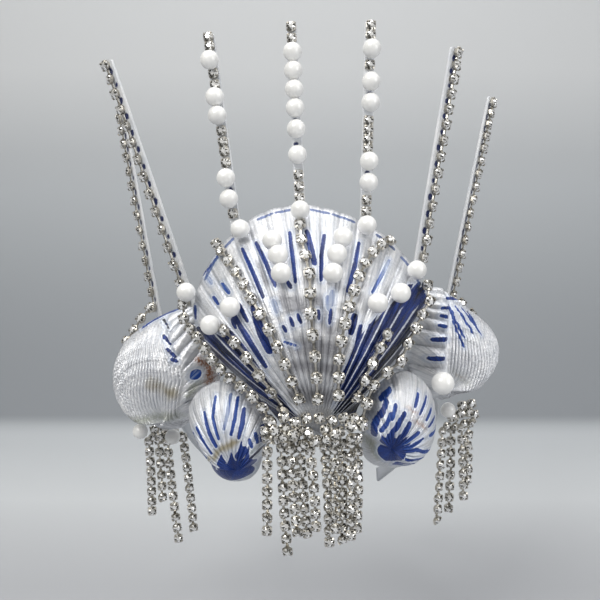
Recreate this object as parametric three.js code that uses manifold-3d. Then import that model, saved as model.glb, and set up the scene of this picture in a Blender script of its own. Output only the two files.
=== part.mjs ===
// Sea-shell tiara on a headband: one large scallop, four cockles, seven trimmed spikes, pearls,
// stone-set chains over the shells and hanging fringes of chain.
// Millimetres, +Z up, front towards -Y, +X to the right as seen from the front. The origin is on
// the headband's inner face at the middle of its front, where the tiara sits on the head.
import * as THREE from 'three';
import * as BufferGeometryUtils from 'three/addons/utils/BufferGeometryUtils.js';
import Module from 'manifold-3d';

const wasm = await Module();
wasm.setup();

// ---------------------------------------------------------------- driving dimensions
const DEG = Math.PI / 180;
const GAP = 0.4; // clearance kept between neighbouring pieces
const PEARL = 8; // diameter of a usual pearl
const PEARL_SIDES = 10;
const CHAIN = 3.4; // outer diameter of a stone-set chain
const CHAIN_SIDES = 8;
const CHAIN_STEP = 2.6; // length of a chain's step, in diameters
const STONE = { width: 4.2, cup: 1.5, crown: 1.0, table: 0.56, sides: 8 }; // table as a share of width
const TRIM_BAR = { width: 2.4, height: 0.9 }; // backing of a spike's trim
const SPIKE = { width: 4.6, thickness: 1.2 };
const BAND = { halfWidth: 63, length: 148, tipHalfWidth: 42, thickness: 2, width: 8, slope: 46 };
const STRAND = 3; // width of a hanging strand of a fringe

// A shell valve is built about its beak. "Up" runs along its height in the plane of its rim and
// "across" to the right; it bulges towards -Y and is hollow behind. outline gives the rim's
// distance from the beak at each angle off "up", and bulge the dome's depth, as a share of the
// full depth, from the beak (0) to the rim (1). The ribs spread over the fan's two angles.
const SCALLOP = {
  outline: [[-180, 3], [-120, 5], [-90, 14], [-74, 17], [-62, 24], [-56, 34], [-51.5, 48],
    [-48, 63], [-44, 71], [-39, 76], [-34, 80], [-26, 86], [-18, 91], [-10, 94.6], [0, 95],
    [8, 92.8], [15, 90.2], [22, 87], [29, 83], [35, 79.3], [40.5, 75], [44.5, 70.5], [48, 61],
    [51.5, 47], [55, 33], [62, 22], [74, 17], [90, 14], [120, 5], [180, 3]],
  bulge: [[0, 0.32], [0.1, 0.62], [0.25, 0.88], [0.42, 1], [0.55, 0.97], [0.65, 0.87],
    [0.75, 0.7], [0.88, 0.38], [1, 0]],
  fan: [-60, 60], hingeFrom: 1, hingeTo: 1.4, sideFall: 2.6,
  depth: 28, edge: 0.7, wall: 2.4, ribs: 24, ribHeight: 1.1, rimWave: 0.9, rows: 9, perRib: 3,
  at: [3.9, -15, -30.5], lean: 14, roll: -4, yaw: 0,
};
const COCKLE_BULGE = [[0, 0.72], [0.15, 0.92], [0.35, 1], [0.55, 0.93], [0.75, 0.7], [0.9, 0.38],
  [1, 0]];
const COCKLES = {
  cockle_lower_left: {
    outline: [[-180, 8.6], [-160, 9.6], [-140, 10.9], [-127, 11.9], [-107, 13], [-90, 13.6],
      [-75, 16], [-60, 22.5], [-52, 28], [-46, 31], [-30, 34.5], [-12, 35], [5, 32],
      [18, 27.5], [30, 23], [50, 14.5], [67, 10.5], [90, 8.5], [130, 7.9], [180, 8.6]],
    bulge: COCKLE_BULGE, fan: [-75, 58], hingeFrom: 0.9, hingeTo: 1.3,
    depth: 14, edge: 0.8, wall: 2, ribs: 15, ribHeight: 0.7, rimWave: 0.5, rows: 6, perRib: 2,
    at: [-27.8, -22, -41.9], lean: 4, roll: 0, yaw: -8,
  },
  cockle_lower_right: {
    outline: [[-180, 12.5], [-138, 11.5], [-100, 10.5], [-81, 10.5], [-55, 12], [-26, 18],
      [-14, 22.5], [2, 27.5], [16, 30.5], [34, 29], [55, 25.4], [74, 22.6], [90, 21],
      [104, 19.4], [120, 16.8], [140, 15.4], [160, 14], [180, 12.5]],
    bulge: COCKLE_BULGE, fan: [-42, 128], hingeFrom: 0.95, hingeTo: 1.35,
    depth: 14, edge: 0.8, wall: 2, ribs: 15, ribHeight: 0.7, rimWave: 0.5, rows: 6, perRib: 2,
    at: [31.5, -20, -32.9], lean: 0, roll: 0, yaw: 8,
  },
  cockle_outer_left: {
    outline: [[-180, 5.5], [-107, 11], [-90, 20], [-72, 31.5], [-57, 38], [-43, 41.5],
      [-27, 43.5], [-12, 46], [0, 49], [8, 50], [16, 45.5], [25, 40], [34, 35], [44, 30],
      [56, 22.5], [72, 13], [100, 7], [180, 5.5]],
    bulge: COCKLE_BULGE, fan: [-95, 70], hingeFrom: 0.95, hingeTo: 1.3,
    depth: 19, edge: 0.8, wall: 2, ribs: 17, ribHeight: 0.6, rimWave: 0.4, rows: 6, perRib: 2,
    at: [-58.7, 9.2, -33.5], lean: 7, roll: 0, yaw: -20,
  },
  cockle_outer_right: {
    outline: [[-180, 5], [-90, 7], [-62, 11], [-50, 16], [-35, 21], [-18, 31], [-8, 40],
      [0, 44.5], [7, 45], [15, 42.5], [32, 39.5], [50, 39.5], [61, 38.5], [72, 34.5], [90, 22],
      [115, 11], [180, 5]],
    bulge: COCKLE_BULGE, fan: [-65, 95], hingeFrom: 0.95, hingeTo: 1.3,
    depth: 18, edge: 0.8, wall: 2, ribs: 17, ribHeight: 0.6, rimWave: 0.4, rows: 6, perRib: 2,
    at: [56.3, 13, -21], lean: 10, roll: 0, yaw: 20,
  },
};

// Spikes: foot and tip of the strip's middle line, and how far its face turns from the front.
const SPIKES = {
  1: { foot: [-67.2, 46.6, -36], tip: [-92, 72, 102], yaw: -60 },
  2: { foot: [-44, 15.2, -8.4], tip: [-90.6, 44.6, 124.4], yaw: -45 },
  3: { foot: [-22.9, -5.6, -4], tip: [-43, 28, 133.9], yaw: -10 },
  4: { foot: [-0.3, -5.9, -3], tip: [-7.5, 28, 137.6], yaw: 0 },
  5: { foot: [22.8, -4.6, -4], tip: [26.6, 28, 139.3], yaw: 8 },
  6: { foot: [40.2, 3.7, -10], tip: [65, 38, 129.3], yaw: 42 },
  7: { foot: [59, 28, -22.4], tip: [86.3, 54.6, 108.8], yaw: 62 },
};
// The outer spikes carry a chain; the middle three a row of stones and pearls. Both are placed by
// their distance from the foot, and a chain runs beside the strip's middle line.
const SPIKE_CHAINS = {
  1: [41.8, 142.3, -2], 2: [20, 143.6, -2], 6: [48.4, 145.4, 2], 7: [38.5, 136.4, 2],
};
const SPIKE_ROWS = {
  3: { stones: [63.5, 86.4, 91.2, 95.6, 100, 120.4, 124.7, 137, 141.3],
    pearls: [69.8, 78.8, 105.9, 114.1, 130.1] },
  4: { stones: [69.4, 73.8, 79.4, 138.1, 142.6],
    pearls: [87.2, 97.6, 106.9, 115.2, 123.1, 131.1] },
  5: { stones: [64.3, 68.6, 91.2, 95.2, 99.3, 103.4, 127.2, 139.6, 143.9],
    pearls: [75.6, 85, 109.7, 119.3, 132.9] },
};

// Pearls glued on the scallop: where each touches, across and up from the beak, and any extra lift.
const SCALLOP_PEARLS = [
  { across: -24.5, up: 82.7 }, { across: -1.2, up: 88.2 }, { across: 24.3, up: 80.6 },
  { across: -12.4, up: 76.1 }, { across: -10.5, up: 69.8 }, { across: -9.8, up: 62.9 },
  { across: 14.1, up: 75.5 }, { across: 11.1, up: 68.6 }, { across: 9, up: 61.5 },
  { across: -46.5, up: 59.5, lift: 1.5 }, { across: -28.9, up: 52 }, { across: -37.1, up: 46.2 },
  { across: 42.4, up: 61.8 }, { across: 33.8, up: 52.8 }, { across: 24.4, up: 49.5 },
];
// Pearls tucked against the outer cockles: centre and diameter.
const OUTER_PEARLS = [
  { at: [56, -14.6, -10.6], width: 9.6 }, { at: [64.6, 14, -33], width: 7 },
  { at: [-77.2, 12, -42.6], width: 7 }, { at: [-61.8, 9, -44], width: 7 },
];

// Chains over the scallop's face, from the rim down: across, up, and how far off the shell.
const FACE_CHAINS = {
  a: [[-1.4, 83.3, 0], [-0.7, 69.1, 0], [0.7, 56.6, 0], [-0.1, 40.8, 0], [0.4, 23.9, 0],
    [0.1, 12, 0]],
  b: [[-36.6, 78.5, 0], [-29.6, 68.9, 0], [-23.3, 58.5, 0], [-16.1, 46.2, 0], [-11.1, 30.7, 0],
    [-5.9, 14.9, 0]],
  d: [[-32.8, 44, 0], [-24.9, 33.1, 0], [-16.8, 19.5, 0], [-12.5, 12.5, 0]],
  e: [[33.6, 75.8, 0.3], [23.4, 65, 0.3], [16.7, 54, 0], [11.5, 39.9, 0], [10.2, 23.6, 0],
    [8.8, 15.9, 0]],
  g: [[28.8, 37.9, 0], [22.7, 28.3, 0], [15.2, 15.5, 0]],
};
// Chains that follow the seams between the scallop and the cockles beside it (x, y, z).
const SEAM_CHAINS = {
  left: [[-52.4, -5, 22], [-51.4, -8, 12.8], [-46.1, -14, 8.7], [-42.1, -17, 5.3], [-38.9, -21, 0.5],
    [-34.9, -25, -2], [-29.7, -30, -4.6], [-24.1, -32, -8], [-19, -33, -13.1]],
  right: [[50.5, -4, 29.9], [51.5, -7, 24.6], [49.2, -12, 19.3], [43.6, -20, 12.8], [39.5, -25, 7.1],
    [36.5, -27, 2.3], [32.4, -29, -2], [25.9, -32, -6.8], [22.4, -33, -13.1]],
};
// Chains along the far edges of the outer cockles.
const EDGE_CHAINS = {
  left: [[-76.9, 44, 8.6], [-80.7, 43, 3.9], [-84.7, 43, -2.1], [-88.9, 43, -8.2]],
  right: [[72.7, 34, 13.3], [77.7, 35, 8.2], [83.2, 36, 2.1], [87.9, 37, -5], [89.6, 38, -11]],
};

// Fringes: the head's lumps (centre) and the hanging strands (top and end, across and height).
const FRINGES = {
  centre: {
    y: -34.5, lump: 5.2,
    head: [[-14.7, -24], [-7.6, -25.5], [0.4, -26.9], [9.1, -25.2], [16.6, -23.2]],
    strands: [[-16.7, -23.5, -16.9, -68.8], [-11.2, -28.6, -8.4, -79.7], [-7.6, -28.6, -4.6, -69.7],
      [-4, -28.6, -0.3, -71], [0, -28.6, 3, -67], [6, -28.6, 8.4, -75.1], [10, -28.6, 11.2, -67.9],
      [13.6, -26.9, 13.9, -73.8], [16.3, -26, 17, -71], [19.1, -24.3, 19.4, -68.8]],
  },
  left: {
    y: 18, lump: 3.2, head: [[-73.5, -47], [-69, -47.6], [-64.5, -47.2], [-60, -46.4]],
    strands: [[-74.3, -47, -74.7, -87.3], [-70.5, -47, -69.6, -82], [-65.8, -47, -62.1, -102.1],
      [-59.2, -46, -55.1, -97.3]],
  },
  right: {
    y: 14, lump: 3.2, head: [[62.8, -40.5], [67, -40], [71.2, -39], [75, -37.4]],
    strands: [[62.3, -40, 61.7, -90.3], [66.4, -40, 67.2, -85.7], [70.5, -38.5, 73.5, -77.9],
      [75, -37, 76, -70.8]],
  },
};

// ---------------------------------------------------------------- shapes
// Smooth look-up in a short table of [position, value] rows.
function table(rows, at) {
  const n = rows.length;
  if (at <= rows[0][0]) return rows[0][1];
  if (at >= rows[n - 1][0]) return rows[n - 1][1];
  let k = 1;
  while (at > rows[k][0]) k += 1;
  const slope = (i) => {
    const a = rows[Math.max(0, i - 1)];
    const b = rows[Math.min(n - 1, i + 1)];
    return (b[1] - a[1]) / (b[0] - a[0]);
  };
  const [x0, y0] = rows[k - 1];
  const [x1, y1] = rows[k];
  const h = x1 - x0;
  const t = (at - x0) / h;
  const t2 = t * t;
  const t3 = t2 * t;
  return y0 * (2 * t3 - 3 * t2 + 1) + slope(k - 1) * h * (t3 - 2 * t2 + t)
    + y1 * (3 * t2 - 2 * t3) + slope(k) * h * (t3 - t2);
}

const blend = (from, to, at) => {
  const t = Math.min(1, Math.max(0, (at - from) / (to - from)));
  return t * t * (3 - 2 * t);
};

// Depth of a valve's dome at an angle off "up" (degrees) and a share rho of the way to the rim.
function domeDepth(shell, angle, rho) {
  const r = Math.min(1, rho);
  const [from, to] = shell.fan;
  const mid = (from + to) / 2;
  const off = Math.abs(angle - mid) / ((to - from) / 2);
  const front = table(shell.bulge, r);
  const hinge = shell.bulge[0][1] * (1 - r ** 2.4);
  let depth = front + (hinge - front) * blend(shell.hingeFrom, shell.hingeTo, off);
  if (shell.sideFall) {
    const side = Math.sqrt(Math.max(0.02, 1 - Math.min(1, off) ** shell.sideFall));
    depth *= 1 - (1 - side) * blend(0, 0.3, r);
  }
  return shell.depth * depth;
}

// Height of the ribs at an angle: flat tops with narrow grooves between them, fading to the beak.
function ribRise(shell, angle, rho) {
  const [from, to] = shell.fan;
  if (angle <= from || angle >= to) return 0;
  const turn = ((angle - from) / (to - from)) * shell.ribs;
  const within = Math.min(turn % 1, 1 - (turn % 1)); // 0 in the groove, 0.5 on the rib's crest
  return shell.ribHeight * Math.min(1, within * 3) * blend(0.05, 0.5, rho);
}

// A closed mesh from points and triangles.
function meshGeometry(points, triangles) {
  const geometry = new THREE.BufferGeometry();
  geometry.setAttribute('position', new THREE.Float32BufferAttribute(points.flat(), 3));
  geometry.setIndex(triangles);
  geometry.computeVertexNormals();
  return geometry;
}

// The angles of a valve's spokes: perRib to each rib inside the fan, and wide steps round the hinge.
function spokes(shell) {
  const [from, to] = shell.fan;
  const count = shell.ribs * shell.perRib;
  const angles = [];
  for (let k = 0; k <= count; k += 1) angles.push(from + ((to - from) * k) / count);
  const rest = 360 - (to - from);
  const wide = Math.round(rest / 26);
  for (let k = 1; k < wide; k += 1) angles.push(to + (rest * k) / wide);
  return angles;
}

const wrap = (angle) => (angle > 180 ? angle - 360 : angle);

// A hollow ribbed valve: an outer and an inner dome about the beak, joined round the rim.
function valveGeometry(shell) {
  const angles = spokes(shell);
  const points = [];
  const sheet = (inner) => {
    const first = points.length;
    for (let i = 0; i <= shell.rows; i += 1) {
      const rho = i / shell.rows;
      for (const turn of i === 0 ? [0] : angles) {
        const angle = wrap(turn);
        const rib = ribRise(shell, angle, rho);
        const rim = table(shell.outline, angle) + (rib / shell.ribHeight - 0.6) * shell.rimWave * rho;
        const reach = rho * (inner ? rim - shell.wall * (0.45 + 0.55 * rho) : rim);
        const depth = domeDepth(shell, angle, rho);
        const y = inner ? -Math.max(0, depth + shell.edge - shell.wall * (1 - rho ** 6) - shell.edge * rho
          + rib * 0.8) : -(depth + shell.edge + rib);
        points.push([reach * Math.sin(angle * DEG), y, reach * Math.cos(angle * DEG)]);
      }
    }
    return first;
  };
  const outer = sheet(false);
  const inner = sheet(true);
  const n = angles.length;
  const at = (first, i, j) => (i === 0 ? first : first + 1 + (i - 1) * n + (j % n));
  const triangles = [];
  for (let j = 0; j < n; j += 1) {
    triangles.push(outer, at(outer, 1, j + 1), at(outer, 1, j));
    triangles.push(inner, at(inner, 1, j), at(inner, 1, j + 1));
    for (let i = 1; i < shell.rows; i += 1) {
      const [a, b, c, d] = [[i, j], [i, j + 1], [i + 1, j + 1], [i + 1, j]].map((q) => at(outer, ...q));
      triangles.push(a, b, c, a, c, d);
      const [e, f, g, h] = [[i, j], [i, j + 1], [i + 1, j + 1], [i + 1, j]].map((q) => at(inner, ...q));
      triangles.push(e, g, f, e, h, g);
    }
    const [a, b] = [at(outer, shell.rows, j), at(outer, shell.rows, j + 1)];
    const [c, d] = [at(inner, shell.rows, j), at(inner, shell.rows, j + 1)];
    triangles.push(a, b, d, a, d, c);
  }
  return meshGeometry(points, triangles);
}

// A point held off a valve's outer face, measured along the face's own normal.
function offShell(shell, across, up, lift) {
  const face = (a, u) => {
    const angle = Math.atan2(a, u) / DEG;
    return -(shell.edge + shell.ribHeight
      + domeDepth(shell, angle, Math.hypot(a, u) / table(shell.outline, angle)));
  };
  const e = 0.5;
  const slopeAcross = (face(across + e, up) - face(across - e, up)) / (2 * e);
  const slopeUp = (face(across, up + e) - face(across, up - e)) / (2 * e);
  const normal = new THREE.Vector3(slopeAcross, -1, slopeUp).normalize();
  return new THREE.Vector3(across, face(across, up), up).addScaledVector(normal, lift);
}

// A round chain laid through the given points.
function chainGeometry(points, width) {
  const path = new THREE.CatmullRomCurve3(points, false, 'centripetal');
  const section = new THREE.Shape(Array.from({ length: CHAIN_SIDES }, (_, k) => {
    const turn = (2 * Math.PI * k) / CHAIN_SIDES;
    return new THREE.Vector2((width / 2) * Math.cos(turn), (width / 2) * Math.sin(turn));
  }));
  const steps = Math.max(3, Math.round(path.getLength() / (CHAIN_STEP * width)));
  return new THREE.ExtrudeGeometry(section, { extrudePath: path, steps, curveSegments: 1 });
}

// Joining pieces into one closed body.
function toSolid(geometry) {
  const bare = geometry.clone();
  bare.deleteAttribute('normal');
  bare.deleteAttribute('uv');
  const merged = BufferGeometryUtils.mergeVertices(bare, 1e-4);
  const corners = merged.index.array;
  const triangles = [];
  for (let k = 0; k < corners.length; k += 3) {
    const [a, b, c] = corners.slice(k, k + 3);
    if (a !== b && b !== c && c !== a) triangles.push(a, b, c);
  }
  return new wasm.Manifold(new wasm.Mesh({
    numProp: 3,
    vertProperties: new Float32Array(merged.attributes.position.array),
    triVerts: new Uint32Array(triangles),
  }));
}

function join(geometries) {
  const solid = geometries.map(toSolid).reduce((sum, next) => sum.add(next));
  const { vertProperties, triVerts } = solid.getMesh();
  const geometry = new THREE.BufferGeometry();
  geometry.setAttribute('position', new THREE.BufferAttribute(new Float32Array(vertProperties), 3));
  geometry.setIndex(new THREE.BufferAttribute(new Uint32Array(triVerts), 1));
  geometry.computeVertexNormals();
  return geometry;
}

const pearlGeometry = (width) => new THREE.SphereGeometry(width / 2, PEARL_SIDES, 5);

// A cut stone in its cup, standing on y = 0 and facing -Y: an eight-sided cup, a crown, a flat table.
function stoneGeometry() {
  const { width, cup, crown, table: top, sides } = STONE;
  const profile = [[0, 0], [width / 2, 0], [width / 2, cup], [(width * top) / 2, cup + crown],
    [0, cup + crown]].map(([r, h]) => new THREE.Vector2(r, h));
  return new THREE.LatheGeometry(profile, sides).rotateX(Math.PI);
}

// The U-shaped headband: a half circle in front and legs drawing in to the tips, in its own plane.
function bandGeometry() {
  const side = [];
  const legs = BAND.length - BAND.halfWidth;
  for (let k = 0; k <= 12; k += 1) {
    const turn = (k / 12) * 90 * DEG;
    side.push([BAND.halfWidth * Math.sin(turn), BAND.halfWidth * (1 - Math.cos(turn))]);
  }
  for (let k = 1; k <= 7; k += 1) {
    const t = k / 7;
    side.push([BAND.halfWidth - (BAND.halfWidth - BAND.tipHalfWidth) * t ** 1.6,
      BAND.halfWidth + legs * t]);
  }
  const offset = (points, by) => points.map((p, k) => {
    const a = points[Math.max(0, k - 1)];
    const b = points[Math.min(points.length - 1, k + 1)];
    const [dx, dy] = k === 0 ? [1, 0] : [b[0] - a[0], b[1] - a[1]];
    const l = Math.hypot(dx, dy);
    return [p[0] + (by * dy) / l, p[1] - (by * dx) / l];
  });
  const outer = offset(side, BAND.thickness);
  const both = (points) => [...points.slice(1).reverse().map(([x, y]) => [-x, y]), ...points];
  const loop = [...both(side), ...both(outer).reverse()];
  const shape = new THREE.Shape(loop.map(([x, y]) => new THREE.Vector2(x, y)));
  const bevel = 0.4;
  return new THREE.ExtrudeGeometry(shape, {
    depth: BAND.width - 2 * bevel, bevelEnabled: true, bevelThickness: bevel, bevelSize: bevel,
    bevelOffset: -bevel, bevelSegments: 1, curveSegments: 1,
  }).translate(0, 0, -(BAND.width / 2 - bevel));
}

// ---------------------------------------------------------------- materials
const material = (name, color, roughness, metalness) => new THREE.MeshStandardMaterial({
  name, color, roughness, metalness,
});
const MATERIALS = {
  shell: material('shell', 0xdfe3ec, 0.45, 0.1),
  pearl: material('pearl', 0xf1efec, 0.25, 0.0),
  chain: material('chain', 0xcfc9b8, 0.3, 0.8),
  strip: material('strip', 0xe6e8ea, 0.3, 0.0),
  band: material('band', 0xb9bdc4, 0.5, 0.2),
};

// ---------------------------------------------------------------- assembly
const tiara = new THREE.Group();
tiara.name = 'seashell_tiara';

function add(parent, name, geometry, look) {
  const mesh = new THREE.Mesh(geometry, MATERIALS[look]);
  mesh.name = name;
  parent.add(mesh);
  return mesh;
}

function shellGroup(shell) {
  const group = new THREE.Group();
  group.position.set(...shell.at);
  group.rotation.set(-shell.lean * DEG, shell.roll * DEG, shell.yaw * DEG, 'ZXY');
  tiara.add(group);
  return group;
}

const band = add(tiara, 'headband', bandGeometry(), 'band');
band.rotation.x = -BAND.slope * DEG;

const scallop = shellGroup(SCALLOP);
add(scallop, 'scallop', valveGeometry(SCALLOP), 'shell');
SCALLOP_PEARLS.forEach(({ across, up, lift = 0 }, k) => {
  const pearl = add(scallop, `pearl_${String(k + 1).padStart(2, '0')}`, pearlGeometry(PEARL), 'pearl');
  pearl.position.copy(offShell(SCALLOP, across, up, PEARL / 2 + GAP + lift));
});
for (const [name, rows] of Object.entries(FACE_CHAINS)) {
  const points = rows.map(([across, up, lift]) => offShell(SCALLOP, across, up,
    CHAIN / 2 + GAP + lift));
  add(scallop, `face_chain_${name}`, chainGeometry(points, CHAIN), 'chain');
}

for (const [name, shell] of Object.entries(COCKLES)) {
  add(shellGroup(shell), name, valveGeometry(shell), 'shell');
}
OUTER_PEARLS.forEach(({ at, width }, k) => {
  const pearl = add(tiara, `pearl_${SCALLOP_PEARLS.length + k + 1}`, pearlGeometry(width), 'pearl');
  pearl.position.set(...at);
});
for (const [side, rows] of Object.entries(SEAM_CHAINS)) {
  const points = rows.map((p) => new THREE.Vector3(...p));
  add(tiara, `seam_chain_${side}`, chainGeometry(points, CHAIN), 'chain');
}
for (const [side, rows] of Object.entries(EDGE_CHAINS)) {
  const points = rows.map((p) => new THREE.Vector3(...p));
  add(tiara, `edge_chain_${side}`, chainGeometry(points, CHAIN), 'chain');
}

for (const [number, { foot, tip, yaw }] of Object.entries(SPIKES)) {
  const up = new THREE.Vector3(...tip).sub(new THREE.Vector3(...foot));
  const length = up.length();
  up.normalize();
  const front = new THREE.Vector3(Math.sin(yaw * DEG), -Math.cos(yaw * DEG), 0);
  const back = front.addScaledVector(up, -front.dot(up)).normalize().negate();
  const across = new THREE.Vector3().crossVectors(back, up);
  const group = new THREE.Group();
  group.position.set(...foot);
  group.quaternion.setFromRotationMatrix(new THREE.Matrix4().makeBasis(across, back, up));
  tiara.add(group);
  const strip = new THREE.BoxGeometry(SPIKE.width, SPIKE.thickness, length);
  add(group, `spike_${number}`, strip.translate(0, 0, length / 2), 'strip');
  const face = -(SPIKE.thickness / 2 + GAP);
  if (SPIKE_CHAINS[number]) {
    const y = face - CHAIN / 2;
    const [low, high, aside] = SPIKE_CHAINS[number];
    const points = [0, 0.25, 0.5, 0.75, 1].map((t) => new THREE.Vector3(aside, y, low + (high - low) * t));
    add(group, `spike_trim_${number}`, chainGeometry(points, CHAIN), 'chain');
  } else {
    const { stones, pearls } = SPIKE_ROWS[number];
    const all = [...stones, ...pearls];
    const low = Math.min(...all) - 1;
    const high = Math.max(...all) + 1;
    const pieces = [new THREE.BoxGeometry(TRIM_BAR.width, TRIM_BAR.height, high - low)
      .translate(0, face - TRIM_BAR.height / 2, (low + high) / 2)];
    for (const z of stones) pieces.push(stoneGeometry().translate(0, face, z));
    for (const z of pearls) pieces.push(pearlGeometry(PEARL).translate(0, face - PEARL / 2, z));
    add(group, `spike_trim_${number}`, join(pieces), 'chain');
  }
}

for (const [name, { y, lump, head, strands }] of Object.entries(FRINGES)) {
  const pieces = head.map(([x, z]) => new THREE.SphereGeometry(lump, 8, 5).translate(x, y, z));
  strands.forEach(([x0, z0, x1, z1], k) => {
    const length = Math.hypot(x1 - x0, z1 - z0);
    const strand = new THREE.BoxGeometry(STRAND, STRAND, length + lump / 2)
      .translate(0, 0, -(length - lump / 2) / 2);
    strand.rotateY(Math.atan2(x0 - x1, z0 - z1)).translate(x0, y + (k % 2 ? 1.1 : -1.1), z0);
    pieces.push(strand);
  });
  add(tiara, `fringe_${name}`, join(pieces), 'chain');
}

export default tiara;
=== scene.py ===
# Sea-shell tiara: painted shells, stone-trimmed spikes, pearls, cup chains and fringes, dressed
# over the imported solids. All tables are in millimetres in the tiara's own frame.
import math
import random

import bpy
import numpy as np
from mathutils import Euler, Matrix, Vector


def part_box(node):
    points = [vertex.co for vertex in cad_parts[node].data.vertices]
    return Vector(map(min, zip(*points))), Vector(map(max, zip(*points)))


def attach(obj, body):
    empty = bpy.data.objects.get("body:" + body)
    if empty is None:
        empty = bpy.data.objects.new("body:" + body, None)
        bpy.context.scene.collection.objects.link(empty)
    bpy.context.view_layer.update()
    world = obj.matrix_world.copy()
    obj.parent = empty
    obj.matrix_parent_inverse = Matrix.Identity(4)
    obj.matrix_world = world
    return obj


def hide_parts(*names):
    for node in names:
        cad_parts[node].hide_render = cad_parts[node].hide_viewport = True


MM = 0.001
PEARL = 8.0
PEARL_COUNT = 19
ON_SCALLOP = 15  # these are PEARL wide; the others have widths of their own
CUP = {"glued": 4.6, "row": 4.3, "strand": 4.2, "small": 3.8}  # widths of the cups
STRAND_PITCH = 5.4
FACE_GROWTH = 1.12  # how the gaps between stones grow down the chains over the scallop
SPIKE_GROWTH = 1.09  # and down the chains of the spikes
SHORTEST_LINK = 1.4
LINK = {"glued": (2.1, 1.8), "strand": (2.0, 1.7), "lump": (2.0, 1.6)}  # width and thickness
LIFT = {"scallop": 1.9, "chain": 1.4, "row": 1.3, "pearl": PEARL / 2 + 0.3}  # off the face below
SPIKE = {"width": 4.6, "thickness": 1.2}
BAND = {"half": 63, "length": 148, "tip_half": 42, "thickness": 2, "width": 8, "slope": 46}

# A valve is built about its beak, upright, bulging forward. outline: the rim's distance from the
# beak at each angle off "up"; bulge: the share of the depth from beak to rim; fan: the angles that
# the ribs spread over. A ridged valve has fine ribs to one side of a ridge, given as (up, across),
# and folds at the heights listed beyond it. knob: the middle of a round boss, (across, up). hinge:
# where, in half fans off the middle, the bulge gives way to the flat back. mesh: the points per rib
# and the rings outside and inside.
COCKLE = {
    "bulge": [(0, 0.72), (0.15, 0.92), (0.35, 1), (0.55, 0.93), (0.75, 0.7), (0.9, 0.38), (1, 0)],
    "hinge": (0.95, 1.3), "side_fall": 0, "edge": 0.8, "wall": 2, "roll": 0, "mesh": (26, 84, 20),
}
LOWER = {**COCKLE, "depth": 14, "ribs": 15, "rib_height": 0.7, "rim_wave": 0.5, "mesh": (18, 64, 20)}
OUTER = {**COCKLE, "ribs": 17, "rib_height": 0.6, "rim_wave": 0.4}
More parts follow.
